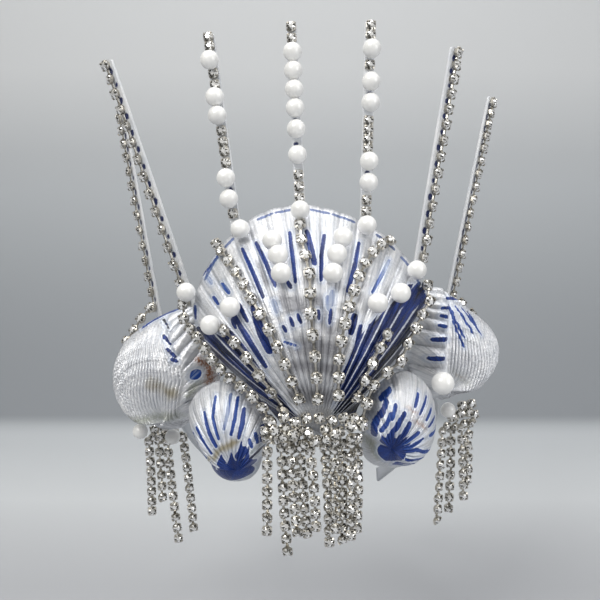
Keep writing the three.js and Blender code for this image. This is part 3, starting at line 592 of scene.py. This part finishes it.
def stroke_fields(rows, across, up, crest, jag):
    """Signed distance to the nearest stroke and its tone, and the weights of the stains.

    crest is the distance to the bare top of a rib, which broad paint misses, and jag moves the ends
    of broad paint from rib to rib."""
    fields = {name: np.full(len(across), value)
              for name, value in (("stroke", FAR), ("tone", 0.5), ("rim_line", FAR))}
    fields.update((name, np.zeros(len(across))) for name in STAINS.values())
    for kind, width, tone, path in ((*row[:3], path) for row in rows for path in row[3:]):
        for k, (a, b) in enumerate(zip(path[:-1], path[1:])):
            a, b = np.array(a, float), np.array(b, float)
            d = b - a
            s = ((across - a[0]) * d[0] + (up - a[1]) * d[1]) / max(1e-6, d @ d)
            s = np.clip(s, 0, 1)
            gap = np.hypot(across - a[0] - s * d[0], up - a[1] - s * d[1])
            t = (k + s) / (len(path) - 1)
            if kind in STAINS:
                weight = tone * 2 * np.clip(1 - gap / (width * 0.8), 0, 1)
                fields[STAINS[kind]] = np.maximum(fields[STAINS[kind]], weight)
                continue
            taper = {"s": 0.75 + 0.25 * np.sin(math.pi * np.clip(t, 0.03, 0.97)) ** 0.5,
                     "t": 1 - t}.get(kind, 1)
            edge = gap - width / 2 * taper
            if kind == "b":
                edge = np.maximum(edge + jag, -crest)
            if kind == "rim":
                fields["rim_line"] = np.minimum(fields["rim_line"], edge)
            else:
                fields["tone"] = np.where(edge < fields["stroke"], tone, fields["tone"])
                fields["stroke"] = np.minimum(fields["stroke"], edge)
    return fields


def shell_sheet(v, angles, rings, wobble, inner):
    """The outer or inner face of a valve: its points, and for each point the angle, the share of the
    way to the rim and the share of groove."""
    angle, r = np.meshgrid(angles, np.concatenate([[0.004], np.arange(1, rings + 1) / rings]))
    rim, a = look_up(v["outline"], angle), np.radians(angle)
    across, up = r * rim * np.sin(a), r * rim * np.cos(a)
    rib, hollow = ridged_profile(v, across, up) if "ridge" in v else fan_profile(v, angle)
    if "knob" in v:
        away = np.hypot(across - v["knob"][0], up - v["knob"][1])
        rib = rib * ease(2.5, 5.5, away) + 0.95 * np.exp(-((away - 3.0) / 1.3) ** 2)
        hollow = hollow * ease(2.5, 5.5, away)
    rib = rib * v["rib_height"] * ease(0.02, 0.3, r)
    rib = rib * (1 - ease(0.97, 1, r) if "ridge" in v else 1 - 0.4 * ease(0.6, 1, r))
    rim = rim + (rib / v["rib_height"] - 0.6) * v["rim_wave"] * 0.5 * r
    depth = dome_depth(v, angle, r) + v["edge"]
    if inner:
        reach = r * (rim - v["wall"] * (0.45 + 0.55 * r))
        y = -np.maximum(0, depth - v["wall"] * (1 - r**6) - v["edge"] * r + rib * 0.8)
    else:
        reach = r * rim
        turn = rib_turn(v, angle)
        sway = wobble[np.clip(turn, 0, v["ribs"]).astype(int), 0] * 0.25
        growth = np.sin(reach * 0.9 + 2.0 * np.sin(reach * 0.23) + sway)
        scale = 0.1 * growth * rib / v["rib_height"] * ease(0.2, 0.6, r)
        uneven = 0.06 * np.sin(turn * 2 * math.pi * 3) * ease(0.3, 0.8, r) * (rib > 0)
        y = -(depth + rib + (scale + uneven) * (1 - ease(0.95, 1, r)))
    return np.stack([reach * np.sin(a), y, reach * np.cos(a)], -1), angle, r, hollow


def shell_piece(name, v, rows):
    """A ribbed valve with a finely ribbed outside, a plain lining and a closed rim."""
    per_rib, rings, coarse = v["mesh"]
    low, high = v["fan"]
    fine = low + (high - low) * np.arange(v["ribs"] * per_rib + 1) / (v["ribs"] * per_rib)
    back = high + (360 - (high - low)) * np.arange(1, 40) / 40
    angles = np.concatenate([fine, back])
    angles = np.where(angles > 180, angles - 360, angles)
    n = len(angles)
    wobble = np.random.default_rng(len(name) * 7).normal(0, 1, (v["ribs"] + 2, 3))
    outer, angle, r, groove = shell_sheet(v, angles, rings, wobble, False)
    inner, *_ = shell_sheet(v, angles, coarse, wobble, True)
    count_out, count_in = (rings + 1) * n, (coarse + 1) * n
    out_rim, in_rim = rings * n, count_out + coarse * n
    faces = weave(0, rings, n, [0]) + weave(count_out, coarse, n, [0], True)
    faces += [(out_rim + j, out_rim + (j + 1) % n, in_rim + (j + 1) % n, in_rim + j)
              for j in range(n)]
    slots = [0] * (rings * n + 1) + [1] * (coarse * n + 1) + [0] * n
    points = np.concatenate([outer.reshape(-1, 3), inner.reshape(-1, 3)])
    thing = piece(name, moved(shell_matrix(v), points), faces, [SHELL, LINING], slots)
    turn = rib_turn(v, angle)
    reach = np.hypot(outer[..., 0], outer[..., 2])
    crest = (np.abs(turn % 1 - 0.5) - 0.07) * reach * math.radians((high - low) / v["ribs"])
    jag = wobble[np.clip(turn, 0, v["ribs"]).astype(int), 1] * 0.9
    fields = stroke_fields(rows, *(part.ravel() for part in (outer[..., 0], outer[..., 2], crest,
                                                             jag)))
    # the groove share becomes the mask of the painted shade in the grooves and between the folds
    fields["groove"] = (groove * ease(0.08, 0.4, r)).ravel()
    for field, values in fields.items():
        blank = FAR if field in ("stroke", "rim_line") else 0.0
        store(thing.data, field, np.concatenate([values, np.full(count_in, blank)]))
    uv = np.zeros((len(points), 2), np.float32)
    uv[:count_out, 0] = turn.ravel()
    uv[:count_out, 1] = (r * look_up(v["outline"], angle)).ravel() / 10
    corner = np.zeros(len(thing.data.loops), np.int32)
    thing.data.loops.foreach_get("vertex_index", corner)
    thing.data.uv_layers.new(name="rib_and_height").data.foreach_set("uv", uv[corner].ravel())
    return thing


def rim_dashes(v, inset=0.975):
    """The thin blue line just inside a shell's rim, where it shows."""
    def at(angle):
        reach = inset * float(look_up(v["outline"], angle))
        return reach * math.sin(math.radians(angle)), reach * math.cos(math.radians(angle))

    return [("rim", 1.2, 0.4, [at(a), at((a + b) / 2), at(b)]) for a, b in RIM_DASHES]


for name, v in VALVES.items():
    rows = PAINT[name] + (rim_dashes(v) if name == "scallop" else [])
    finish_piece(shell_piece(name + "_shell", v, rows), "shell", name)


def off_shell(v, across, up):
    """A point held off a valve's outer face along its normal, and that normal, in the tiara's
    frame."""
    def face(a, u):
        angle = math.degrees(math.atan2(a, u))
        rho = math.hypot(a, u) / float(look_up(v["outline"], angle))
        return -(v["edge"] + v["rib_height"] + float(dome_depth(v, angle, rho)))

    e = 0.5
    normal = unit([(face(across + e, up) - face(across - e, up)) / (2 * e), -1,
                   (face(across, up + e) - face(across, up - e)) / (2 * e)])
    m, on_face = shell_matrix(v), np.array([across, face(across, up), up])
    return moved(m, on_face + LIFT["scallop"] * normal), m[:3, :3] @ normal


# ------------------------------------------------------------------ pearls
def pearl_piece(name, centres, width, sides=32, rings=20):
    """Round beads at the centres; the poles are closed with small caps."""
    t = math.pi * np.clip(np.arange(rings + 1) / rings, 0.012, 0.988)[:, None]
    a = 2 * math.pi * np.arange(sides) / sides
    bead = np.stack([np.sin(t) * np.cos(a), np.sin(t) * np.sin(a), np.cos(t) + 0 * a], -1)
    bead = bead.reshape(-1, 3) * width / 2
    points, faces = [], []
    for k, centre in enumerate(centres):
        points.append(bead + np.asarray(centre))
        faces += weave(k * len(bead), rings, sides, (0, rings), True)
    return piece(name, np.concatenate(points), faces, [BEAD])


# each pearl sits where its solid is; those off the scallop have sizes of their own
for k in range(1, PEARL_COUNT + 1):
    label = f"pearl_{k:02d}"
    low, high = (np.array(corner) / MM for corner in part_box(label))
    width = PEARL if k <= ON_SCALLOP else high[1] - low[1]
    finish_piece(pearl_piece(label + "_bead", [(low + high) / 2], width), "pearl", label)


# ------------------------------------------------------------------ stones, cups and links
def ring_points(count, radius, height, turn=0.0):
    return [(radius * math.cos(2 * math.pi * (k + turn) / count),
             radius * math.sin(2 * math.pi * (k + turn) / count), height) for k in range(count)]


def crystal_form():
    """A cut stone of unit girdle width facing +Z: table, star, kite and girdle facets, pavilion."""
    points = ring_points(8, 0.2, 0.31) + ring_points(8, 0.4, 0.2, 0.5) + ring_points(16, 0.5, 0.06)
    points.append((0, 0, -0.26))
    faces = [tuple(range(8))]
    for k in range(8):
        girdle = 16 + 2 * k
        faces += [(k, 8 + k, (k + 1) % 8), (k, girdle, 8 + k), (k, 8 + (k - 1) % 8, girdle),
                  (8 + k, girdle, girdle + 1), (8 + k, girdle + 1, 16 + (2 * k + 2) % 16)]
    faces += [(16 + k, 32, 16 + (k + 1) % 16) for k in range(16)]
    form = piece("crystal_form", points, faces, [CRYSTAL], smooth=False)
    # each facet gets a painted glint, light or dark, that sets its colour
    rng = random.Random(11)
    painted_glint = [0.75] + [rng.choice((0.0, 0.4, 0.75, 1.0)) for _ in faces[1:]]
    store(form.data, "painted_glint", painted_glint, domain="FACE")
    return form


def cup_form():
    """A stamped cup of unit width facing +Z: wall, rolled lip, foil seat and four claws."""
    floor, seat, sides = -0.3, -0.285, 8
    rows = [(0.4, floor), (0.49, -0.22), (0.51, 0.03), (0.52, 0.07), (0.49, 0.09), (0.48, 0.03)]
    points = [(0, 0, floor)]
    for radius, height in rows:
        points += ring_points(sides, radius * 1.04, height, 0.5)
    points.append((0, 0, seat))
    last, inside = len(points) - 1, 1 + (len(rows) - 1) * sides
    faces = weave(1, len(rows) - 1, sides)
    for k in range(sides):
        n = (k + 1) % sides
        faces += [(0, 1 + n, 1 + k), (inside + k, inside + n, last)]
    for k in range(4):
        c, s = math.cos(math.pi * (k + 0.5) / 2), math.sin(math.pi * (k + 0.5) / 2)
        a = len(points)
        for out, side, height in ((0.58, -0.11, -0.1), (0.58, 0.11, -0.1), (0.57, -0.1, 0.17),
                                  (0.57, 0.1, 0.17), (0.38, -0.05, 0.26), (0.38, 0.05, 0.26)):
            points.append((out * c - side * s, out * s + side * c, height))
        faces += [(a, a + 1, a + 3, a + 2), (a + 2, a + 3, a + 5, a + 4), (a, a + 2, a + 4),
                  (a + 1, a + 5, a + 3), (a, a + 4, a + 5, a + 1)]
    return piece("cup_form", points, faces, [PLATE], smooth=False)


def link_form():
    """A flat link of unit length along X, joining two cups, with raised rounded ends."""
    points = []
    for x in (-0.5, -0.36, -0.22, 0.22, 0.36, 0.5):
        w, h = (0.85, 0.42) if abs(x) == 0.36 else (0.5, 0.3)
        points += [(x, -w / 2, -h / 2), (x, w / 2, -h / 2), (x, w * 0.35, h / 2),
                   (x, -w * 0.35, h / 2)]
    return piece("link_form", points, weave(0, 5, 4, (0, 5), True), [PLATE], smooth=False)


FORMS = {"crystal": crystal_form(), "cup": cup_form(), "link": link_form()}


def setting_tree():
    """Sets one form on every point, turned to face and run the way the point's attributes say."""
    tree = bpy.data.node_groups.new("set_forms_on_points", "GeometryNodeTree")
    tree.is_modifier = True
    for name, way, kind in (("Points", "INPUT", "Geometry"), ("Form", "INPUT", "Object"),
                            ("Finish", "INPUT", "Material"), ("Width factor", "INPUT", "Float"),
                            ("Set forms", "OUTPUT", "Geometry")):
        tree.interface.new_socket(name, in_out=way, socket_type="NodeSocket" + kind)
    given = add(tree, "NodeGroupInput").node.outputs
    vectors = {name: add(tree, "GeometryNodeInputNamedAttribute", {"Name": name},
                         data_type="FLOAT_VECTOR") for name in ("facing", "along", "size")}
    upright = add(tree, "FunctionNodeAlignRotationToVector", {"Vector": vectors["facing"]}, axis="Z")
    turned = add(tree, "FunctionNodeAlignRotationToVector",
                 {"Rotation": upright, "Vector": vectors["along"]}, axis="X", pivot_axis="Z")
    form = add(tree, "GeometryNodeObjectInfo", {"Object": given["Form"]}, "Geometry")
    scale = add(tree, "ShaderNodeVectorMath", {0: vectors["size"], "Scale": given["Width factor"]},
                operation="SCALE")
    placed = add(tree, "GeometryNodeInstanceOnPoints", {"Points": given["Points"],
                 "Instance": form, "Rotation": turned, "Scale": scale})
    real = add(tree, "GeometryNodeRealizeInstances", {"Geometry": placed})
    finished = add(tree, "GeometryNodeSetMaterial", {"Geometry": real, "Material": given["Finish"]})
    add(tree, "NodeGroupOutput", {0: finished})
    return tree


SETTING = setting_tree()


def set_forms(name, form, finish, marks):
    """One plain mesh with a form on each mark (place, facing, along, size) in millimetres."""
    mesh = bpy.data.meshes.new(name)
    mesh.from_pydata([tuple(float(c) * MM for c in mark[0]) for mark in marks], [], [])
    for key, column in (("facing", 1), ("along", 2), ("size", 3)):
        store(mesh, key, [mark[column] for mark in marks], "FLOAT_VECTOR")
    holder = shown(name, mesh)
    modifier = holder.modifiers.new("setting", "NODES")
    modifier.node_group = SETTING
    values = {"Form": FORMS[form], "Finish": finish, "Width factor": 1.0}
    for item in SETTING.interface.items_tree:
        if item.in_out == "INPUT" and item.name in values:
            modifier[item.identifier] = values[item.name]
    graph = bpy.context.evaluated_depsgraph_get()
    result = bpy.data.meshes.new_from_object(holder.evaluated_get(graph))
    holder.modifiers.clear()
    holder.data = result
    return holder


def stone_chain(name, node, stones, links):
    """Cups, crystals and links as one piece."""
    parts = [set_forms(name, "cup", PLATE, stones),
             set_forms(name + "_stones", "crystal", CRYSTAL, stones)]
    if links:
        parts.append(set_forms(name + "_links", "link", PLATE, links))
    finish_piece(joined(name, parts), "chain", node)


def smooth_path(controls, steps=24):
    """Points of a smooth curve through the controls, and how far along it each of them is."""
    rows = np.asarray(controls, float)
    rows = np.vstack([2 * rows[0] - rows[1], rows, 2 * rows[-1] - rows[-2]])
    s = (np.arange(steps) / steps)[:, None]
    spans = [0.5 * (2 * p1 + (p2 - p0) * s + (2 * p0 - 5 * p1 + 4 * p2 - p3) * s**2
                    + (3 * p1 - p0 - 3 * p2 + p3) * s**3)
             for p0, p1, p2, p3 in zip(rows[:-3], rows[1:-2], rows[2:-1], rows[3:])]
    line = np.vstack(spans + [rows[-2]])
    return line, np.append(0, np.cumsum(np.linalg.norm(np.diff(line, axis=0), axis=1)))


def spread(route, count, growth=1.0):
    """Places of so many stones from end to end of a smooth route, wider apart towards its end."""
    line, length = smooth_path(route)
    at = length[-1] * np.linspace(0, 1, count) ** growth
    return np.stack([np.interp(at, length, column) for column in line.T], -1)


def askew(face, along, amount, rng):
    """A facing knocked a little to the side and along the chain."""
    side = np.cross(face, along)
    return face + amount * (rng.uniform(-1, 1) * side + rng.uniform(-1, 1) * along)


def placed_marks(places, facings, amount, seed):
    """Marks for stones at the given places and for the links between neighbours."""
    rng = random.Random(seed)
    width = CUP["glued"]
    stones, links = [], []
    for k, (here, face) in enumerate(zip(places, facings)):
        along = unit(places[min(k + 1, len(places) - 1)] - places[max(k - 1, 0)])
        face = unit(face)
        stones.append((here, askew(face, along, amount, rng), along, (width,) * 3))
        if k:
            run = here - places[k - 1]
            span = np.linalg.norm(run)
            links.append(((here + places[k - 1]) / 2 - face * 0.5, face, run / span,
                          (max(SHORTEST_LINK, span - width * 0.8), *LINK["glued"])))
    return stones, links


for label, (count, route) in FACE_CHAINS.items():
    held = [off_shell(VALVES["scallop"], *at) for at in spread(route, count, FACE_GROWTH)]
    stone_chain(f"face_chain_{label}_stones", f"face_chain_{label}",
                *placed_marks(*zip(*held), 0.3, ord(label)))

# the other chains look to the front and away from a centre behind the tiara
for kind, chains, centre, amount in (("seam_chain", SEAM_CHAINS, (0, 40, 10), 0.3),
                                     ("edge_chain", EDGE_CHAINS, (0, 60, -40), 0.2)):
    for side, (count, route) in chains.items():
        places = spread(route, count)
        facings = [np.array([0, -1.0, 0.15]) + 0.5 * unit(place - centre) for place in places]
        stone_chain(f"{kind}_{side}_stones", f"{kind}_{side}",
                    *placed_marks(places, facings, amount, len(side)))


# ------------------------------------------------------------------ spikes
def spike_frame(foot, tip, yaw):
    """The foot, the ways across, back and up, and the length of a strip."""
    foot, tip = np.array(foot, float), np.array(tip, float)
    length = np.linalg.norm(tip - foot)
    up = (tip - foot) / length
    front = np.array([math.sin(math.radians(yaw)), -math.cos(math.radians(yaw)), 0])
    back = -unit(front - up * (front @ up))
    return foot, np.cross(back, up), back, up, length


def strip_piece(name, foot, across, back, up, length, dabs):
    """A thin strip with rounded edges and a rounded tip, with dabs of paint (distance, radius,
    aside)."""
    w, t, soft, row_height = SPIKE["width"] / 2, SPIKE["thickness"] / 2, 0.35, 0.8
    section = [(-w, -t + soft), (-w + soft, -t), (-w / 2, -t), (0, -t), (w / 2, -t),
               (w - soft, -t), (w, -t + soft), (w, t - soft), (w - soft, t), (-w + soft, t),
               (-w, t - soft)]
    rows = int(length / row_height)
    points, field = [], []
    for i in range(rows + 1):
        z = length * i / rows
        over = max(0, (z - length + w * 0.8) / (w * 0.8))
        end = min(1.0, math.sqrt(max(0.02, 1 - over**2)))
        for x, y in section:
            points.append(foot + across * x * end + back * y + up * z)
            near = min([math.hypot((z - d) * 0.9, x - o) - r for d, r, o in dabs] or [FAR])
            field.append(near if y < 0 else FAR)
    thing = piece(name, points, weave(0, rows, len(section), (0, rows)), [STRIP], smooth=False)
    store(thing.data, "dab", field)
    return thing


def on_strip(foot, across, back, up, z, lift, aside=0.0):
    """A point above a strip's face at a distance from its foot."""
    return foot + up * z - back * (SPIKE["thickness"] / 2 + lift) + across * aside


for key, placing in SPIKES.items():
    *ways, length = spike_frame(*placing)
    back, up = ways[2:]
    rng = random.Random(key)
    if key in SPIKE_STONES:
        aside, top, lowest, count = SPIKE_STONES[key]
        stone_at = top + (lowest - top) * np.linspace(0, 1, count) ** SPIKE_GROWTH
        stone_chain(f"spike_{key}_chain", f"spike_trim_{key}",
                    *placed_marks([on_strip(*ways, z, LIFT["chain"], aside) for z in stone_at],
                                  [-back] * count, 0.25, key))
        dabs = [((a + b) / 2, rng.uniform(1.0, 1.6), aside * rng.uniform(0.1, 0.6))
                for a, b in zip(stone_at[1:], stone_at[:-1])]
    else:
        stone_at, pearl_at = SPIKE_ROWS[key]
        stones = [(on_strip(*ways, z, LIFT["row"]), -back, up, (CUP["row"],) * 3)
                  for z in stone_at]
        stone_chain(f"spike_{key}_stones", f"spike_trim_{key}", stones, [])
        centres = [on_strip(*ways, z, LIFT["pearl"]) for z in pearl_at]
        finish_piece(pearl_piece(f"spike_{key}_pearls", centres, PEARL), "pearl")
        taken = sorted(stone_at + pearl_at)
        dabs = [((a + b) / 2, rng.uniform(0.9, 1.4), rng.uniform(-0.5, 0.5))
                for a, b in zip(taken[:-1], taken[1:]) if b - a > 8]
    finish_piece(strip_piece(f"spike_{key}_strip", *ways, length, dabs), "strip", f"spike_{key}")


# ------------------------------------------------------------------ fringes
def strand_marks(route, facing, seed):
    """Marks for the stones and links of a hanging strand."""
    line, length = smooth_path(route)
    count = max(2, round(length[-1] / STRAND_PITCH))
    pitch, width = length[-1] / count, CUP["strand"]
    rng = random.Random(seed)
    stones, links = [], []

    def at(s):
        return np.array([np.interp(s, length, column) for column in line.T])

    for k in range(count):
        s = (k + 0.5) * pitch
        along = unit(at(s + 0.4) - at(s - 0.4))
        face = askew(unit(facing - along * (facing @ along)), along, 0.45, rng)
        stones.append((at(s), face, along, (width,) * 3))
        if k:
            links.append((at(s - pitch / 2) - face * width * 0.1, face, along,
                          ((pitch - width * 0.86) * 1.2, *LINK["strand"])))
    return stones, links


for label, f in FRINGES.items():
    rng = random.Random(len(label) * 5)
    stones, links = [], []
    for k, (x0, z0, x1, z1) in enumerate(f["strands"]):
        y = f["y"] + (1.0 if k % 2 else -1.2)  # by turns behind and before
        sway = rng.uniform(-0.5, 0.5)
        line = [(x0 + (x1 - x0) * t + sway * math.sin(math.pi * t), y, z0 + (z1 - z0) * t)
                for t in np.arange(6) / 5]
        s, l = strand_marks(line, np.array([rng.uniform(-0.5, 0.5), -1, 0.1]), k)
        stones += s
        links += l
    placed = []
    for x, z in f["top"]:
        placed.append(np.array([x, f["y"] + rng.uniform(-0.5, 1.5), z]))
        stones.append((placed[-1], (rng.uniform(-0.4, 0.4), -1, rng.uniform(0, 0.5)), (1, 0, 0.3),
                       (CUP["row"],) * 3))
    # the lump: stones that face outwards from round heads, as many as find room
    radius, closest, tries = f["lump"], 3.6, 3000
    width = CUP["row" if radius > 4 else "small"]
    for _ in range(tries):
        x, z = rng.choice(f["head"])
        h, a = rng.uniform(-0.85, 0.85), rng.uniform(0.12 * math.pi, 0.88 * math.pi)
        flat = math.sqrt(1 - h * h)
        way = np.array([math.cos(a) * flat, -math.sin(a) * flat, h])
        spot = np.array([x, f["y"], z]) + way * (radius - 1.6)
        if all(np.linalg.norm(spot - other) > closest for other in placed):
            placed.append(spot)
            along = unit(np.cross(way, [rng.uniform(-1, 1) for _ in range(3)]))
            stones.append((spot, way + np.array([0, -0.4, 0.1]), along, (width,) * 3))
            links.append((spot + along * 2.5 - way * 0.9, way, along, (2.2, *LINK["lump"])))
    stone_chain(f"fringe_{label}_chains", f"fringe_{label}", stones, links)


# ------------------------------------------------------------------ headband
def band_piece():
    """A half ring at the front that runs back in two legs, with rounded edges."""
    half, leg = BAND["half"], BAND["length"] - BAND["half"]
    side = [(half * math.sin(math.pi / 2 * k / 32), half * (1 - math.cos(math.pi / 2 * k / 32)))
            for k in range(33)]
    side += [(half - (half - BAND["tip_half"]) * (k / 24) ** 1.6, half + leg * k / 24)
             for k in range(1, 25)]
    line = [(-x, y) for x, y in reversed(side[1:])] + side
    t, w = BAND["thickness"], BAND["width"] / 2
    section = [(0, -w + 0.5), (0.25, -w + 0.1), (0.7, -w), (t - 0.7, -w), (t - 0.2, -w + 0.2),
               (t, -w + 0.8), (t, 0), (t, w - 0.8), (t - 0.2, w - 0.2), (t - 0.7, w), (0.7, w),
               (0.25, w - 0.1), (0, w - 0.5), (0, 0)]
    points, last = [], len(line) - 1
    for i, (x, y) in enumerate(line):
        a, b = line[max(0, i - 1)], line[min(last, i + 1)]
        out = unit([b[1] - a[1], a[0] - b[0]])
        points += [(x + out[0] * o, y + out[1] * o, h) for o, h in section]
    faces = weave(0, last, len(section), (0, last))
    tilt = np.array(Matrix.Rotation(math.radians(-BAND["slope"]), 4, "X"))
    return piece("headband_moulding", moved(tilt, points), faces, [GREY])


finish_piece(band_piece(), "band", "headband")

for form in FORMS.values():
    bpy.data.objects.remove(form)


# ------------------------------------------------------------------ stage, light and camera
def graded(tree, value, low, high, stops):
    """A colour that runs through the stops as the value goes from low to high."""
    share = add(tree, "ShaderNodeMapRange", {"Value": value, "From Min": low, "From Max": high},
                interpolation_type="SMOOTHSTEP")
    return add(tree, "ShaderNodeValToRGB", {0: share}, stops=stops)


def sweep_backdrop():
    """A paper sweep: a pale floor, a wide curve and a soft grey wall behind, with painted light and shade
    on floor and wall.
    """
    low, back, bend, wide, near, top = -165.0, 530.0, 240.0, 1600.0, -1200.0, 1600.0
    line = [(near, low)] + [(back - bend + bend * math.sin(a), low + bend * (1 - math.cos(a)))
                            for a in np.linspace(0, math.pi / 2, 24)] + [(back, top)]
    points = [(x, y, z) for y, z in line for x in (-wide, wide)]
    faces = [(2 * k, 2 * k + 1, 2 * k + 3, 2 * k + 2) for k in range(len(line) - 1)]
    material, tree, shader, place = new_material("background_paper", Roughness=0.9)
    far = add(tree, "ShaderNodeSeparateXYZ", {0: place}).node.outputs
    # painted light: the floor is darker in front, lightest a little behind the tiara and a touch darker
    # further back
    floor = graded(tree, far["Y"], 0.0, 0.4, [(0.1, "#A7A9AD"), (0.45, "#C0C3C6"), (0.9, "#B4B8BC")])
    # painted shade: the wall is darker towards the bottom and lighter towards the top
    wall = graded(tree, far["Z"], -0.17, 0.3, [(0.0, "#868A8F"), (0.4, "#B2B6BA"), (0.8, "#CFD1D3")])
    paper = painted(tree, floor, far["Z"], -0.1649, -0.159, wall)
    tree.links.new(paper, shader.inputs["Base Color"])
    return piece("paper_sweep", points, faces, [material])


sweep_backdrop()


def soft_box(name, place, size, power, colour="#FFFFFF"):
    """An oblong lamp that looks at the middle of the tiara."""
    light = bpy.data.lights.new(name, "AREA")
    light.shape, light.size, light.size_y = "RECTANGLE", size[0] * MM, size[1] * MM
    light.energy = power
    light.color = linear(colour)[:3]
    lamp = shown(name, light)
    lamp.location = Vector(place) * MM
    lamp.rotation_euler = (Vector((0, 0, 20)) - Vector(place)).to_track_quat("-Z", "Y").to_euler()


soft_box("key_soft_box", (-380, -420, 640), (380, 380), 4.3, "#FFFDF8")
soft_box("fill_soft_box", (620, -420, 260), (420, 520), 2.4, "#FAFAFA")
soft_box("top_soft_box", (0, 160, 820), (600, 400), 3.6)

world = bpy.data.worlds.new("studio_room")
bpy.context.scene.world = world
world.use_nodes = True
room = world.node_tree
way = add(room, "ShaderNodeTexCoord", out="Generated")
light_above = graded(room, add(room, "ShaderNodeSeparateXYZ", {0: way}, "Z"), -0.4, 0.7,
                     [(0.0, "#6E6E6E"), (0.5, "#A2A2A1"), (1.0, "#EEEDEA")])
room.links.new(light_above, room.nodes["Background"].inputs["Color"])
room.nodes["Background"].inputs["Strength"].default_value = 0.62
bpy.context.scene.view_settings.view_transform = "Standard"

camera = shown("camera", bpy.data.cameras.new("camera"))
camera.data.lens, camera.data.sensor_width = 45, 36
camera.data.clip_start = 0.01
camera.location = Vector((-3.6, -313.4, 88.4)) * MM
camera.rotation_euler = Euler((math.radians(90 - 12), 0, 0))
bpy.context.scene.camera = camera
